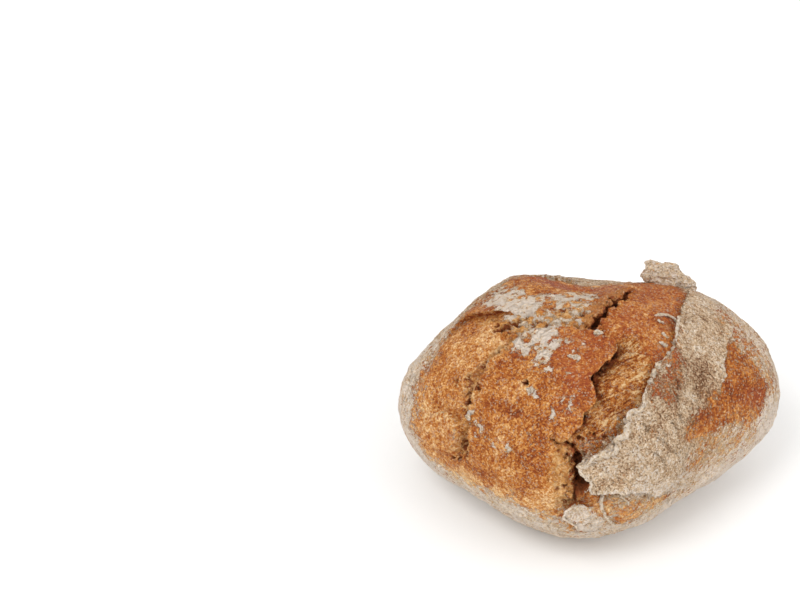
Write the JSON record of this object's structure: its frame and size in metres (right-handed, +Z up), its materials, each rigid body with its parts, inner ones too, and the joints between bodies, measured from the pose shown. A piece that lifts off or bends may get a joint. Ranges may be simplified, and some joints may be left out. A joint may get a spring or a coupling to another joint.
{
  "type": "bread roll",
  "caption": "Crusty lozenge-shaped bread roll with a burst, floured crust, torn skin edges and a small flat resting spot.",
  "frame": {"origin": "middle of the bounding box on the resting plane, under the roll", "axes": "+X along the roll towards its fuller end, +Y towards its back, +Z up from the resting spot to the crown"},
  "size_m": [0.1038, 0.084, 0.0579],
  "materials": {
    "crust": "dry matt baked crust dusted with flour, pale cream on the skin, golden to red-brown where it burst"
  },
  "bodies": {
    "root": {"bread_roll": "crust"}
  },
  "joints": []
}
